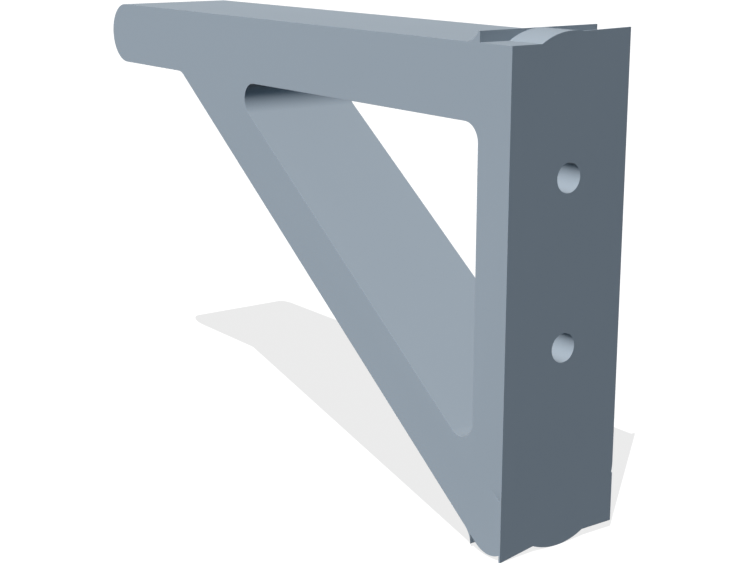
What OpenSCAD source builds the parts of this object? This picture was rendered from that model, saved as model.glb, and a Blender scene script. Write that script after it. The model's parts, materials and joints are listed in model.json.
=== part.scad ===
// Shelf bracket moulded in one piece, in millimetres.
// X runs from the wall along the arm, Y runs across the width and Z points up.
// The wall face lies in the plane X = 0, and the shelf rests in the plane Z = 0.

/* [Arm] */
// Width of the bracket along the wall
width = 28; // [20:1:60]
// Reach of the arm from the wall to its round tip
arm_reach = 150; // [130:1:300]
// Height of the arm
arm_height = 14; // [12:0.5:24]

/* [Leg] */
// Height of the leg from its lowest point to its crown
leg_height = 96; // [80:1:160]
// Thickness of the leg away from the wall
leg_thickness = 8.5; // [6:0.5:14]
// Height of the crown and the stop lip above the shelf seat
lip_height = 2; // [1:0.1:3]

/* [Brace] */
// Thickness of the brace
brace_thickness = 12; // [8:0.5:13]
// Distance from the wall to the point where the brace meets the arm's centre line
brace_reach = 115; // [80:1:125]
// Distance from the wall to the centre of the brace's round foot
foot_offset = 3.5; // [1:0.5:5]
// Height of the foot's lowest point above that of the leg
foot_rise = 0.5; // [0.2:0.1:3]

/* [Corners] */
// Radius of the inside corners of the side view
corner_radius = 3.7; // [2.5:0.1:6]
// Thickness of the two thin corner webs that lie flush with the wall face
web_thickness = 0.4; // [0.2:0.1:1]
// Angle round the leg's lower end at which the lower corner web leaves it
web_angle = 25; // [15:1:40]

/* [Screw holes] */
// Diameter of the screw holes
hole_diameter = 5.5; // [3:0.1:8]
// Distance between the centres of the two holes
hole_spacing = 31.4; // [15:0.1:36]
// Depth of the upper hole's centre below the shelf seat
upper_hole_depth = 23.9; // [18:0.1:30]

/* [Hidden] */
$fn = 96;

// How far a cutter runs past the face that it opens
past_face = 1;

// How far a fillet is seated in the sides that it joins, and its arc runs into them
seat = 1;
arc_dip = 0.001;

// Directions in the side view, where x is the reach and y the height
OUT = [1, 0];
UP = [0, 1];

// The leg's plate has round ends as wide as the bracket
end_radius = width / 2;
leg_bottom = lip_height - leg_height;

// The arm's bar ends in a half round tip
tip_radius = arm_height / 2;
tip_centre = [arm_reach - tip_radius, -tip_radius];

// The brace's bar runs from its round foot by the wall to the arm's centre line
foot_radius = brace_thickness / 2;
foot = [foot_offset, leg_bottom + foot_rise + foot_radius];
head = [brace_reach, -tip_radius];
brace_length = norm(head - foot);
up_brace = (head - foot) / brace_length;
brace_angle = atan2(up_brace.y, up_brace.x);
off_brace = [-up_brace.y, up_brace.x];

// Points where the brace's upper and lower sides start
upper_side = foot + off_brace * foot_radius;
lower_side = foot - off_brace * foot_radius;

// Point of the line through p along d at a given height or reach
function at_height(p, d, height) = p + d * (height - p.y) / d.y;
function at_reach(p, d, reach) = p + d * (reach - p.x) / d.x;

// Round bar of the arm, seen from the side
module arm_outline() {
    translate([0, -arm_height])
        square([tip_centre.x, arm_height]);
    translate(tip_centre)
        circle(r = tip_radius);
}

// Bar of the brace with its round foot, cut off by the wall
module brace_outline() {
    intersection() {
        translate(foot) {
            circle(r = foot_radius);
            rotate(brace_angle)
                translate([0, -foot_radius])
                    square([brace_length, brace_thickness]);
        }
        translate([0, leg_bottom])
            square([arm_reach, leg_height]);
    }
}

// Straight part of the leg between its round ends
module leg_outline() {
    translate([0, leg_bottom + end_radius])
        square([leg_thickness, -leg_bottom - end_radius]);
}

// Fillet in the inside corner at a point, between two directions along its sides
module fillet(corner, a, b) {
    half_angle = acos(a * b) / 2;
    // The corner and the two tangent points, seen from the centre of an arc of radius 1
    corner_point = -(a + b) / norm(a + b) / sin(half_angle);
    tangent_a = corner_point + a / tan(half_angle);
    tangent_b = corner_point + b / tan(half_angle);
    translate(corner - corner_point * corner_radius)
        difference() {
            polygon([[0, 0], tangent_a, corner_point, tangent_b] * (corner_radius + seat));
            circle(r = corner_radius + arc_dip);
        }
}

// Fillets of the opening, of the brace's underside, behind the foot and up the stop lip,
// cut off by the leg's inner plane and level with the crown
module fillets() {
    intersection() {
        translate([leg_thickness, leg_bottom])
            square([arm_reach, leg_height]);
        union() {
            fillet([leg_thickness, -arm_height], OUT, -UP);
            fillet(at_height(upper_side, up_brace, -arm_height), -OUT, -up_brace);
            fillet(at_reach(upper_side, up_brace, leg_thickness), UP, up_brace);
            fillet(at_height(lower_side, up_brace, -arm_height), OUT, -up_brace);
            fillet(at_reach(lower_side, up_brace, leg_thickness), -UP, up_brace);
            fillet([leg_thickness, 0], OUT, UP);
        }
    }
}

// Everything that has the full width
module side_profile() {
    rotate([90, 0, 0])
        linear_extrude(width, center = true) {
            arm_outline();
            brace_outline();
            leg_outline();
            fillets();
        }
}

// Stands an outline of the wall face upright, with a thickness away from the wall
module off_wall(thickness) {
    rotate([90, 0, 90])
        linear_extrude(thickness)
            children();
}

// Plate of the leg, with a round crown and a round lower end
module leg_plate() {
    off_wall(leg_thickness) {
        for (height = [leg_bottom + end_radius, lip_height - end_radius])
            translate([0, height])
                circle(r = end_radius);
        translate([-end_radius, leg_bottom + end_radius])
            square([width, leg_height - width]);
    }
}

// Thin webs that square off one upper and one lower corner of the wall face
module corner_webs() {
    lower_centre = leg_bottom + end_radius;
    upper_centre = lip_height - end_radius;
    off_wall(web_thickness) {
        polygon([
            [-end_radius, lip_height],
            [-end_radius, upper_centre],
            [0, lip_height]
        ]);
        polygon([
            [end_radius, leg_bottom],
            [end_radius, lower_centre],
            [end_radius * sin(web_angle), lower_centre - end_radius * cos(web_angle)]
        ]);
    }
}

// Two screw holes, one above the other, through the leg
module screw_holes() {
    for (depth = [upper_hole_depth, upper_hole_depth + hole_spacing])
        translate([-past_face, 0, -depth])
            rotate([0, 90, 0])
                cylinder(h = leg_thickness + 2 * past_face, d = hole_diameter);
}

module bracket() {
    color("#9FAAB3")
        difference() {
            union() {
                side_profile();
                leg_plate();
                corner_webs();
            }
            screw_holes();
        }
}

bracket();
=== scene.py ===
"""Shelf bracket moulded in one piece, with the stage that shows it, laid out as an add-on."""

import json
from math import acos, asin, cos, pi, radians, sin, sqrt, tan

import bmesh
import bpy
from bpy.props import FloatProperty, FloatVectorProperty, PointerProperty
from mathutils import Matrix, Vector


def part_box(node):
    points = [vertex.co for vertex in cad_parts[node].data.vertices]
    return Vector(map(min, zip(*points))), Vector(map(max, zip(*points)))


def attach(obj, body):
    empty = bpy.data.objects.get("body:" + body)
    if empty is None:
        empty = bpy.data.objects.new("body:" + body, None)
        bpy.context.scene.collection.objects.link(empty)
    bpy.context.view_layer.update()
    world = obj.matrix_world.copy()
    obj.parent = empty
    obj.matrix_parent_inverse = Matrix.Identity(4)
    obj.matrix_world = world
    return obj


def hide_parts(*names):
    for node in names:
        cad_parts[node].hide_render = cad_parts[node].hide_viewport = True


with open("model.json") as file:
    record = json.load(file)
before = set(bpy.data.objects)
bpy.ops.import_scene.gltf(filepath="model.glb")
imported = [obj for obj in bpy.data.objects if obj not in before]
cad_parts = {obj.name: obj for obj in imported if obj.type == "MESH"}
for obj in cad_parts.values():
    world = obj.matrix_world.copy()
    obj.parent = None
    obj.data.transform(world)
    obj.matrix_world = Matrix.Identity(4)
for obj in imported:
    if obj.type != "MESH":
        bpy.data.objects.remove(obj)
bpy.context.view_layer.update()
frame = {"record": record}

bl_info = {
    "name": "Shelf Bracket",
    "version": (1, 0, 0),
    "blender": (4, 5, 0),
    "location": "View3D > Sidebar > Bracket",
    "description": "Models a moulded shelf bracket and the stage that shows it",
    "category": "Object",
}

NODE = "bracket"
MM = 0.001

# Points nearer to each other than this are one point
WELD = 0.0005 * MM

# A rim turns by more than the first angle, two faces of an arc by less than the second, and
# two parts of one flat face by less than the third
RIM_ANGLE = radians(30)
SHARP_ANGLE = radians(10)
FLAT_ANGLE = radians(0.05)

# Number of faces round a rim
RIM_SEGMENTS = 3

# How far a cutter runs past the face that it opens
PAST_FACE = 1 * MM

# The frame's box and its screw mount give the overall sizes and the holes
BOX_LOW, BOX_HIGH = (Vector(corner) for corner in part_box(NODE))
SCREWS = next(m for m in frame["record"]["mounts"] if m["name"] == "wall_screws")

# The floor's half side in metres, and its colour, to which its own glow is added
FLOOR_SIZE = 4
FLOOR_COLOUR = (0.2, 0.2, 0.2, 1)

# Where each sun stands, seen from the bracket, and the colour of its light
KEY_PLACE, KEY_COLOUR = (-0.20, 0.63, 0.75), "#FFFAF7"
WINDOW_PLACE, WINDOW_COLOUR = (-0.56, 0.72, 0.40), "#A6DAFF"
FILL_PLACE, FILL_COLOUR = (0.78, -0.57, -0.26), "#EEF3FF"
FLOOR_SUN_PLACE, FLOOR_SUN_COLOUR = (-0.3155, 0.3882, 0.870), "#FFFFFF"
SKY_COLOUR = "#DDE6F0"

# Angles of the soft suns on the bracket and of the sharp one on the floor
SOFT_SUN = radians(15)
SHARP_SUN = radians(0.1)

# Nearest thing that the camera shows
CLIP_START = 10 * MM

# Directions in the side view, as (reach, height)
OUT = Vector((1, 0))
UP = Vector((0, 1))

# Planes that an outline is drawn in: its x, its y and its normal as world directions
SIDE = Matrix(((1, 0, 0), (0, 0, -1), (0, 1, 0))).to_4x4()
WALL = Matrix(((0, 0, 1), (1, 0, 0), (0, 1, 0))).to_4x4()


def linear(hex_colour):
    """Linear RGBA of an sRGB hex colour."""
    channels = [int(hex_colour[i:i + 2], 16) / 255 for i in (1, 3, 5)]
    return [c / 12.92 if c <= 0.04045 else ((c + 0.055) / 1.055) ** 2.4 for c in channels] + [1]


def length(name, description, default):
    """Length property, in metres."""
    return FloatProperty(name=name, description=description, default=default,
                         min=0, unit="LENGTH", precision=4)


def strength(name, description, default):
    """Property for the strength of a light."""
    return FloatProperty(name=name, description=description, default=default, min=0)


class BracketSizes(bpy.types.PropertyGroup):
    """Sizes of the moulding, in metres"""

    width: length("Width", "Width of the bracket along the wall", BOX_HIGH.y - BOX_LOW.y)
    reach: length("Reach", "Distance from the wall to the arm's round tip", BOX_HIGH.x)
    arm_height: length("Arm height", "Height of the arm", 14 * MM)
    leg_height: length("Leg height", "Height from the leg's lowest point to its crown",
                       BOX_HIGH.z - BOX_LOW.z)
    leg_thickness: length("Leg thickness", "Thickness of the leg away from the wall", 8.5 * MM)
    lip_height: length("Lip height", "Height of the crown and the stop lip above the shelf seat",
                       BOX_HIGH.z)
    brace_thickness: length("Brace thickness", "Thickness of the brace", 12 * MM)
    brace_reach: length("Brace reach", "Distance from the wall to the point where the brace"
                        " meets the arm's centre line", 115 * MM)
    foot_offset: length("Foot offset", "Distance from the wall to the round foot's centre",
                        3.5 * MM)
    foot_rise: length("Foot rise", "Height of the foot's lowest point above the leg's", 0.5 * MM)
    corner_radius: length("Corner radius", "Radius of the side view's inside corners", 3.7 * MM)
    web_thickness: length("Web thickness", "Thickness of the two thin webs that lie flush with"
                          " the wall face", 0.4 * MM)
    upper_web_angle: FloatProperty(name="Upper web angle", description="Angle round the crown at"
                                   " which the upper web leaves it", default=radians(10),
                                   subtype="ANGLE")
    lower_web_angle: FloatProperty(name="Lower web angle", description="Angle round the leg's"
                                   " lower end at which the lower web leaves it",
                                   default=radians(25), subtype="ANGLE")
    hole_diameter: length("Hole diameter", "Diameter of the screw holes",
                          2 * SCREWS["dims"]["hole_r_mm"] * MM)
    hole_spacing: length("Hole spacing", "Distance between the centres of the two holes",
                         SCREWS["dims"]["spacing_y_mm"] * MM)
    hole_depth: length("Hole depth", "Depth of the point midway between the holes' centres"
                       " below the shelf seat", -SCREWS["pos_m"][2])
    edge_radius: length("Edge radius", "Radius that the mould leaves on outer edges", 0.03 * MM)
    arc_step: FloatProperty(name="Arc step", description="Angle between two points of an arc",
                            default=radians(4), min=radians(1), subtype="ANGLE")


class BracketFinish(bpy.types.PropertyGroup):
    """Colour and surface of the moulded plastic"""

    colour: FloatVectorProperty(name="Colour", description="Colour of the plastic", size=4,
                                subtype="COLOR", min=0, max=1, default=linear("#9AA6B0"))
    colour_thin: FloatVectorProperty(name="Thin colour", description="Colour where the pigment"
                                     " lies thinner", size=4, subtype="COLOR", min=0, max=1,
                                     default=linear("#9DA9B3"))
    drift: length("Drift", "Distance over which the pigment drifts", 30 * MM)
    grain: length("Grain", "Width of one pit of the mould's eroded texture", 0.5 * MM)
    grain_depth: length("Grain depth", "Depth of a pit", 0.006 * MM)
    pit_roughness: FloatProperty(name="Pit roughness", description="Roughness in the pits",
                                 default=0.8, min=0, max=1, subtype="FACTOR")
    roughness: FloatProperty(name="Roughness", description="Roughness between the pits",
                             default=0.9, min=0, max=1, subtype="FACTOR")


class BracketStage(bpy.types.PropertyGroup):
    """Camera, floor and lights"""

    camera_place: FloatVectorProperty(name="Camera", description="Place of the camera",
                                      subtype="TRANSLATION",
                                      default=(-188.322 * MM, 179.995 * MM, 21.869 * MM))
    camera_aim: FloatVectorProperty(name="Aim", description="Point that the camera looks at",
                                    subtype="TRANSLATION",
                                    default=(48.611 * MM, 11.417 * MM, -48.522 * MM))
    lens: FloatProperty(name="Lens", description="Focal length on a sensor 36 mm wide",
                        default=70.789, unit="CAMERA")
    shift: FloatVectorProperty(name="Shift", description="Shift of the view to the right and up,"
                               " as a share of the picture's width", size=2,
                               default=(0.02367, -0.0164))
    key: strength("Key", "Strength of the key light from above the near side", 3.79)
    window: strength("Window", "Strength of the cool light from beside the camera", 0.6)
    fill: strength("Fill", "Strength of the light on the far side and the tip", 3.1)
    sky: strength("Sky", "Strength of the even light from all round", 0.03)
    floor_sun: strength("Floor sun", "Strength of the sun that draws the shadow", 5)
    shadow: strength("Shadow", "Brightness of the floor in the shadow", 0.83)


def add_node(tree, kind, inputs=(), links=(), **settings):
    """Adds a node with its settings, the values of its inputs and the outputs linked to them."""
    node = tree.nodes.new(kind)
    for name, value in settings.items():
        setattr(node, name, value)
    for name, value in dict(inputs).items():
        node.inputs[name].default_value = value
    for name, output in dict(links).items():
        tree.links.new(output, node.inputs[name])
    return node


def to_height(point, direction, height):
    """Where the line through point along direction has that height."""
    return point + direction * ((height - point.y) / direction.y)


def to_reach(point, direction, reach):
    """Where the line through point along direction has that reach."""
    return point + direction * ((reach - point.x) / direction.x)


class Outline:
    """Closed outline of straight edges and arcs, drawn in a plane until it becomes a face."""

    def __init__(self, bm, plane, arc_step):
        self.bm, self.plane, self.arc_step = bm, plane, arc_step
        self.first = self.last = None
        self.edges = []

    def place(self, point):
        """The world's point for a point of the plane."""
        return self.plane @ Vector((*point, 0))

    def to(self, *points):
        """Draws straight edges through points."""
        for point in points:
            vertex = self.bm.verts.new(self.place(point))
            if self.last:
                self.edges.append(self.bm.edges.new((self.last, vertex)))
            self.first = self.first or vertex
            self.last = vertex

    def arc(self, start, centre, angle):
        """Draws an arc by spinning its start round its centre, leftwards for an angle above 0."""
        self.to(start)
        drawn = set(self.bm.edges)
        made = bmesh.ops.spin(self.bm, geom=[self.last], angle=angle,
                              steps=2 * max(1, round(abs(angle) / self.arc_step / 2)),
                              cent=self.place(centre),
                              axis=self.plane.to_3x3() @ Vector((0, 0, 1)))
        self.edges += [edge for edge in self.bm.edges if edge not in drawn]
        self.last = made["geom_last"][0]

    def fillet(self, corner, back, ahead, radius):
        """Rounds a corner, from the side that runs back from it to the one that runs ahead."""
        half_angle = back.angle(ahead) / 2
        start = corner + back * (radius / tan(half_angle))
        centre = corner + (back + ahead).normalized() * (radius / sin(half_angle))
        self.arc(start, centre, -(-back).angle_signed(ahead))

    def face(self):
        """Closes the outline and fills it."""
        self.edges.append(self.bm.edges.new((self.last, self.first)))
        return bmesh.ops.contextual_create(self.bm, geom=self.edges)["faces"][0]


def thicken(bm, faces, direction):
    """Gives faces a thickness along a direction."""
    made = bmesh.ops.extrude_face_region(bm, geom=faces, use_keep_orig=True)
    moved = [item for item in made["geom"] if isinstance(item, bmesh.types.BMVert)]
    bmesh.ops.translate(bm, verts=moved, vec=direction)


def draw_side_profile(bm, sizes):
    """Draws everything that has the full width."""
    thickness, radius = sizes.leg_thickness, sizes.corner_radius
    arm_bottom = -sizes.arm_height
    leg_bottom = sizes.lip_height - sizes.leg_height
    tip_radius = sizes.arm_height / 2
    tip = Vector((sizes.reach - tip_radius, -tip_radius))
    foot_radius = sizes.brace_thickness / 2
    foot = Vector((sizes.foot_offset, leg_bottom + sizes.foot_rise + foot_radius))
    up_brace = (Vector((sizes.brace_reach, -tip_radius)) - foot).normalized()
    off_brace = Vector((-up_brace.y, up_brace.x))
    upper_side = foot + off_brace * foot_radius
    lower_side = foot - off_brace * foot_radius
    behind_foot = to_reach(lower_side, up_brace, thickness)

    # Two outlines meet at a cut through the leg and one through the arm, both clear of the
    # fillets, because a face that runs all round the opening isn't possible
    leg_cut = arm_bottom - 1.5 * radius
    arm_cut = thickness + 2 * radius
    side = SIDE @ Matrix.Translation((0, 0, sizes.width / 2))

    corner = Outline(bm, side, sizes.arc_step)
    corner.to((0, leg_cut), (thickness, leg_cut))
    corner.fillet(Vector((thickness, arm_bottom)), -UP, OUT, radius)
    corner.to((arm_cut, arm_bottom), (arm_cut, 0))
    # The stop lip is a fillet that ends at the height of the crown
    corner.arc((thickness + radius, 0), (thickness + radius, radius),
               -acos(1 - sizes.lip_height / radius))
    corner.to((thickness, sizes.lip_height), (thickness, 0), (0, 0))

    rest = Outline(bm, side, sizes.arc_step)
    straight_end = leg_bottom + sizes.width / 2
    rest.to((0, leg_cut), (0, straight_end), to_height(upper_side, up_brace, straight_end),
            to_reach(upper_side, up_brace, 0))
    foot_start = Vector((0, foot.y - sqrt(foot_radius ** 2 - foot.x ** 2)))
    rest.arc(foot_start, foot, -(foot_start - foot).angle_signed(-off_brace))
    rest.to(behind_foot)
    rest.fillet(behind_foot, -UP, up_brace, radius)
    rest.fillet(to_height(lower_side, up_brace, arm_bottom), -up_brace, OUT, radius)
    rest.arc((tip.x, arm_bottom), tip, pi)
    rest.to((arm_cut, 0), (arm_cut, arm_bottom))
    rest.fillet(to_height(upper_side, up_brace, arm_bottom), -OUT, -up_brace, radius)
    rest.fillet(to_reach(upper_side, up_brace, thickness), up_brace, UP, radius)
    rest.to((thickness, leg_cut))

    faces = [corner.face(), rest.face()]
    bmesh.ops.remove_doubles(bm, verts=bm.verts, dist=WELD)
    thicken(bm, faces, (0, sizes.width, 0))


def draw_leg_ends(bm, sizes):
    """Draws the crown and the round lower end of the leg's plate."""
    radius = sizes.width / 2
    thickness = Vector((sizes.leg_thickness, 0, 0))
    crown = Vector((0, sizes.lip_height - radius))
    lower = Vector((0, sizes.lip_height - sizes.leg_height + radius))

    # The crown's arc starts inside the arm
    start_height = -sizes.lip_height
    start = Vector((sqrt(radius ** 2 - (start_height - crown.y) ** 2), start_height))
    cap = Outline(bm, WALL, sizes.arc_step)
    cap.arc(start, crown, pi - 2 * asin((start_height - crown.y) / radius))
    thicken(bm, [cap.face()], thickness)

    # The round lower end reaches a little way up into the straight part of the leg
    inside = Vector((radius - sizes.lip_height, lower.y + sizes.lip_height))
    end = Outline(bm, WALL, sizes.arc_step)
    end.arc(lower - OUT * radius, lower, pi)
    end.to(inside, (-inside.x, inside.y))
    thicken(bm, [end.face()], thickness)


def draw_corner_webs(bm, sizes):
    """Draws the thin webs that square off one upper and one lower corner of the wall face."""
    radius = sizes.width / 2
    crown = sizes.lip_height - radius
    bottom = sizes.lip_height - sizes.leg_height
    lower = bottom + radius
    from_crown = (-radius * sin(sizes.upper_web_angle),
                  crown + radius * cos(sizes.upper_web_angle))
    from_end = (radius * sin(sizes.lower_web_angle),
                lower - radius * cos(sizes.lower_web_angle))
    for corners in (((-radius, sizes.lip_height), (-radius, crown), from_crown),
                    ((radius, bottom), (radius, lower), from_end)):
        web = Outline(bm, WALL, sizes.arc_step)
        web.to(*corners)
        thicken(bm, [web.face()], (sizes.web_thickness, 0, 0))


def draw_screw_holes(bm, sizes):
    """Draws the cutters for the two screw holes."""
    for depth in (sizes.hole_depth - sizes.hole_spacing / 2,
                  sizes.hole_depth + sizes.hole_spacing / 2):
        radius = sizes.hole_diameter / 2
        hole = Outline(bm, WALL @ Matrix.Translation((0, 0, -PAST_FACE)), sizes.arc_step)
        hole.arc((radius, -depth), (0, -depth), 2 * pi)
        thicken(bm, [hole.face()], (sizes.leg_thickness + 2 * PAST_FACE, 0, 0))


def closed_mesh(name, sizes, *draw):
    """Mesh of the shells that functions draw, with their faces pointing outwards."""
    bm = bmesh.new()
    for function in draw:
        function(bm, sizes)
    bmesh.ops.recalc_face_normals(bm, faces=bm.faces)
    mesh = bpy.data.meshes.new(name)
    bm.to_mesh(mesh)
    bm.free()
    return mesh


def union_less_holes(context, name, sizes):
    """Mesh of the solid parts as one, less the screw holes."""
    solid = bpy.data.objects.new(
        "solid", closed_mesh("solid", sizes, draw_side_profile, draw_leg_ends, draw_corner_webs))
    holes = bpy.data.objects.new("holes", closed_mesh("holes", sizes, draw_screw_holes))
    for shape in (solid, holes):
        context.scene.collection.objects.link(shape)
    modifier = solid.modifiers.new("Screw holes", "BOOLEAN")
    modifier.operation = "DIFFERENCE"
    modifier.solver = "EXACT"
    modifier.use_self = True
    modifier.object = holes
    solid_now = solid.evaluated_get(context.evaluated_depsgraph_get())
    mesh = bpy.data.meshes.new_from_object(solid_now)
    mesh.name = name
    for shape in (solid, holes):
        shape_mesh = shape.data
        bpy.data.objects.remove(shape)
        bpy.data.meshes.remove(shape_mesh)
    return mesh


def put_in_order(mesh):
    """Sorts a mesh by place, because the Boolean gives its parts in another order each run."""
    bm = bmesh.new()
    bm.from_mesh(mesh)
    for parts in (bm.verts, bm.edges, bm.faces):
        ordered = sorted(parts, key=lambda part: sorted(
            tuple(vertex.co) for vertex in getattr(part, "verts", (part,))))
        for index, part in enumerate(ordered):
            part.index = index
        parts.sort()
    bm.to_mesh(mesh)
    bm.free()


def is_rim(edge, sizes):
    """Whether an edge is a rim of the sides or of a screw hole, clear of the leg's ends."""
    if not edge.is_manifold or not edge.is_convex or edge.calc_face_angle() < RIM_ANGLE:
        return False
    places = [vertex.co for vertex in edge.verts]
    middle = (places[0] + places[1]) / 2
    on_side = all(abs(abs(place.y) - sizes.width / 2) < WELD for place in (*places, middle))
    by_crown = middle.x < sizes.leg_thickness / 2 and middle.z > -WELD
    by_foot = (middle.x < sizes.leg_thickness + sizes.corner_radius
               and middle.z < sizes.lip_height - sizes.leg_height + sizes.width / 2 + WELD)
    in_hole = all(abs(place.y) < sizes.hole_diameter / 2 + WELD for place in places)
    on_face = any(all(abs(place.x - reach) < WELD for place in places)
                  for reach in (0, sizes.leg_thickness))
    reach_of_holes = (sizes.hole_spacing + sizes.hole_diameter) / 2 + WELD
    by_holes = abs(middle.z + sizes.hole_depth) < reach_of_holes
    return on_side and not by_crown and not by_foot or in_hole and on_face and by_holes


def finish_moulding(mesh, sizes):
    """Welds the seams of the union, rounds its rims and makes its arcs smooth.

    Each step starts from a mesh in order, because its result depends on that.
    """
    put_in_order(mesh)
    bm = bmesh.new()
    bm.from_mesh(mesh)
    bmesh.ops.remove_doubles(bm, verts=bm.verts, dist=WELD)
    bmesh.ops.dissolve_limit(bm, angle_limit=FLAT_ANGLE, verts=bm.verts, edges=bm.edges,
                             use_dissolve_boundaries=False, delimit={"NORMAL"})
    bm.to_mesh(mesh)
    bm.free()
    put_in_order(mesh)
    bm = bmesh.new()
    bm.from_mesh(mesh)
    rims = [edge for edge in bm.edges if is_rim(edge, sizes)]
    bmesh.ops.bevel(bm, geom=rims, offset=sizes.edge_radius, offset_type="OFFSET",
                    segments=RIM_SEGMENTS, profile=0.5, affect="EDGES", material=-1,
                    clamp_overlap=False, loop_slide=False)
    for face in bm.faces:
        face.smooth = True
    bm.to_mesh(mesh)
    bm.free()
    put_in_order(mesh)
    mesh.set_sharp_from_angle(angle=SHARP_ANGLE)


def moulded_plastic(finish):
    """Matt moulded ABS in grey-blue, as it leaves a spark-eroded mould.

    The eye gets a dull even colour with a soft broad sheen. The pigment drifts a little along
    the flow, and the mould's fine pits break the sheen up.
    """
    material = bpy.data.materials.new("Moulded ABS grey-blue")
    material.use_nodes = True
    tree = material.node_tree
    shader = tree.nodes["Principled BSDF"]
    shader.inputs["Metallic"].default_value = 0
    shader.inputs["IOR"].default_value = 1.52
    # The pits catch part of the light that a polished face would reflect
    shader.inputs["Specular IOR Level"].default_value = 0.25

    place = add_node(tree, "ShaderNodeTexCoord").outputs["Object"]

    # Pigment that drifts, stretched along the arm
    flow = add_node(tree, "ShaderNodeMapping", {"Scale": (0.4, 1, 1)}, {"Vector": place})
    drift = add_node(tree, "ShaderNodeTexNoise", {"Scale": 1 / finish.drift, "Detail": 3},
                     {"Vector": flow.outputs["Vector"]})
    colour = add_node(tree, "ShaderNodeMix", {"A": list(finish.colour),
                                              "B": list(finish.colour_thin)},
                      {"Factor": drift.outputs["Fac"]}, data_type="RGBA")
    tree.links.new(colour.outputs["Result"], shader.inputs["Base Color"])

    # Pits of about 0.1 mm in the real mould, drawn coarser because those wouldn't show
    pits = add_node(tree, "ShaderNodeTexNoise", {"Scale": 1 / finish.grain, "Detail": 2,
                                                 "Roughness": 0.6}, {"Vector": place})
    sheen = add_node(tree, "ShaderNodeMapRange", {"To Min": finish.pit_roughness,
                                                  "To Max": finish.roughness},
                     {"Value": pits.outputs["Fac"]})
    tree.links.new(sheen.outputs["Result"], shader.inputs["Roughness"])
    bump = add_node(tree, "ShaderNodeBump", {"Strength": 1, "Distance": finish.grain_depth},
                    {"Height": pits.outputs["Fac"]})
    tree.links.new(bump.outputs["Normal"], shader.inputs["Normal"])
    return material


class BRACKET_OT_moulding(bpy.types.Operator):
    """Models the bracket and gives it its plastic"""

    bl_idname = "bracket.moulding"
    bl_label = "Moulding"
    bl_options = {"REGISTER", "UNDO"}

    def execute(self, context):
        sizes = context.scene.bracket_sizes
        mesh = union_less_holes(context, "bracket_moulding", sizes)
        finish_moulding(mesh, sizes)
        mesh.materials.clear()
        mesh.materials.append(moulded_plastic(context.scene.bracket_finish))
        piece = bpy.data.objects.new("bracket_moulding", mesh)
        context.scene.collection.objects.link(piece)
        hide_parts(NODE)
        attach(piece, "root")
        return {"FINISHED"}


def add_sun(context, name, towards, power, colour, receiver, bounces=0):
    """Adds a soft sun that stands in a direction from the bracket and lights one object.

    It casts no shadow, as in a light tent with light from all over, and its light bounces
    off the object as many times as bounces says.
    """
    light = bpy.data.lights.new(name, "SUN")
    light.energy = power
    light.color = linear(colour)[:3]
    light.angle = SOFT_SUN
    light.use_shadow = False
    light.cycles.max_bounces = bounces
    sun = bpy.data.objects.new(name, light)
    sun.rotation_euler = Vector(towards).to_track_quat("Z", "Y").to_euler()
    context.scene.collection.objects.link(sun)
    receivers = bpy.data.collections.new(f"Lit by {name}")
    receivers.objects.link(receiver)
    sun.light_linking.receiver_collection = receivers
    return light


def add_seen(tree):
    """Adds what is 1 for a ray that shows the surface, straight or in a reflection, and else 0."""
    ray = add_node(tree, "ShaderNodeLightPath")
    shown = add_node(tree, "ShaderNodeMath", (), {0: ray.outputs["Is Camera Ray"],
                                                  1: ray.outputs["Is Glossy Ray"]},
                     operation="MAXIMUM")
    return add_node(tree, "ShaderNodeMath", (), {0: shown.outputs["Value"],
                                                 1: ray.outputs["Is Transmission Ray"]},
                    operation="MAXIMUM")


def add_floor(context, stage):
    """Adds the pale floor, white in the light and a pale grey where the bracket shades it."""
    bm = bmesh.new()
    bmesh.ops.create_grid(bm, x_segments=1, y_segments=1, size=FLOOR_SIZE,
                          matrix=Matrix.Translation((0, 0, BOX_LOW.z)))
    mesh = bpy.data.meshes.new("floor")
    bm.to_mesh(mesh)
    bm.free()
    floor = bpy.data.objects.new("floor", mesh)
    context.scene.collection.objects.link(floor)

    material = bpy.data.materials.new("White paper backdrop")
    material.use_nodes = True
    tree = material.node_tree
    tree.nodes.clear()
    paper = add_node(tree, "ShaderNodeBsdfDiffuse", {"Color": FLOOR_COLOUR})
    glow = add_node(tree, "ShaderNodeEmission", {"Strength": stage.shadow})
    both = add_node(tree, "ShaderNodeAddShader", (),
                    {0: paper.outputs["BSDF"], 1: glow.outputs["Emission"]})
    mixed = add_node(tree, "ShaderNodeMixShader", (), {0: add_seen(tree).outputs["Value"],
                                                       1: paper.outputs["BSDF"],
                                                       2: both.outputs["Shader"]})
    add_node(tree, "ShaderNodeOutputMaterial", (), {"Surface": mixed.outputs["Shader"]})
    mesh.materials.append(material)
    floor.visible_diffuse = False
    return floor


def add_world(context, stage):
    """Adds a world that looks white and lights everything a little from all round."""
    world = bpy.data.worlds.new("Studio")
    world.use_nodes = True
    tree = world.node_tree
    tree.nodes.clear()
    white = add_node(tree, "ShaderNodeBackground", {"Color": (1, 1, 1, 1), "Strength": 1})
    soft = add_node(tree, "ShaderNodeBackground", {"Color": linear(SKY_COLOUR),
                                                   "Strength": stage.sky})
    mixed = add_node(tree, "ShaderNodeMixShader", (), {0: add_seen(tree).outputs["Value"],
                                                       1: soft.outputs["Background"],
                                                       2: white.outputs["Background"]})
    add_node(tree, "ShaderNodeOutputWorld", (), {"Surface": mixed.outputs["Shader"]})
    context.scene.world = world


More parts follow.
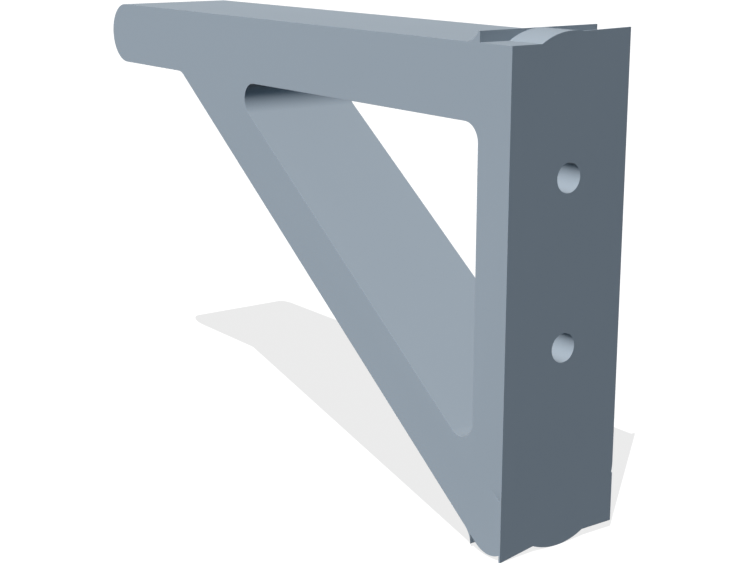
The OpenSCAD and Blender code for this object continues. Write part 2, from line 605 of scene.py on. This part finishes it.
class BRACKET_OT_stage(bpy.types.Operator):
    """Sets up the camera, the floor and the lights"""

    bl_idname = "bracket.stage"
    bl_label = "Stage"
    bl_options = {"REGISTER", "UNDO"}

    def execute(self, context):
        stage = context.scene.bracket_stage
        scene = context.scene
        scene.view_settings.view_transform = "Standard"

        camera = bpy.data.objects.new("Camera", bpy.data.cameras.new("Camera"))
        camera.data.lens = stage.lens
        camera.data.shift_x, camera.data.shift_y = stage.shift
        camera.data.clip_start = CLIP_START
        camera.location = stage.camera_place
        aim = Vector(stage.camera_aim) - Vector(stage.camera_place)
        camera.rotation_euler = aim.to_track_quat("-Z", "Y").to_euler()
        scene.collection.objects.link(camera)
        scene.camera = camera

        floor = add_floor(context, stage)
        add_world(context, stage)
        piece = bpy.data.objects["bracket_moulding"]
        # Half of the key light bounces once, which lifts the inside corners and the screw holes
        for name, bounces in (("Key", 0), ("Key_bounce", 1)):
            add_sun(context, name, KEY_PLACE, stage.key / 2, KEY_COLOUR, piece, bounces)
        add_sun(context, "Window", WINDOW_PLACE, stage.window, WINDOW_COLOUR, piece)
        add_sun(context, "Fill", FILL_PLACE, stage.fill, FILL_COLOUR, piece)

        # This one draws the bracket's crisp shadow on the floor
        floor_sun = add_sun(context, "Floor", FLOOR_SUN_PLACE, stage.floor_sun, FLOOR_SUN_COLOUR,
                            floor)
        floor_sun.angle = SHARP_SUN
        floor_sun.use_shadow = True
        return {"FINISHED"}


class BRACKET_PT_panel(bpy.types.Panel):
    """Lists the bracket's sizes, finish and stage, with what makes them"""

    bl_idname = "BRACKET_PT_panel"
    bl_label = "Shelf bracket"
    bl_space_type = "VIEW_3D"
    bl_region_type = "UI"
    bl_category = "Bracket"

    def draw(self, context):
        for title, group, operator in (
                ("Sizes", context.scene.bracket_sizes, None),
                ("Finish", context.scene.bracket_finish, BRACKET_OT_moulding),
                ("Stage", context.scene.bracket_stage, BRACKET_OT_stage)):
            box = self.layout.box()
            box.label(text=title)
            for name in group.__annotations__:
                box.prop(group, name)
            if operator:
                box.operator(operator.bl_idname)


GROUPS = {"bracket_sizes": BracketSizes, "bracket_finish": BracketFinish,
          "bracket_stage": BracketStage}
CLASSES = (*GROUPS.values(), BRACKET_OT_moulding, BRACKET_OT_stage, BRACKET_PT_panel)


def register():
    for cls in CLASSES:
        bpy.utils.register_class(cls)
    for name, group in GROUPS.items():
        setattr(bpy.types.Scene, name, PointerProperty(type=group))


def unregister():
    for name in GROUPS:
        delattr(bpy.types.Scene, name)
    for cls in reversed(CLASSES):
        bpy.utils.unregister_class(cls)


def main():
    register()
    bpy.ops.bracket.moulding()
    bpy.ops.bracket.stage()


if __name__ == "__main__":
    main()
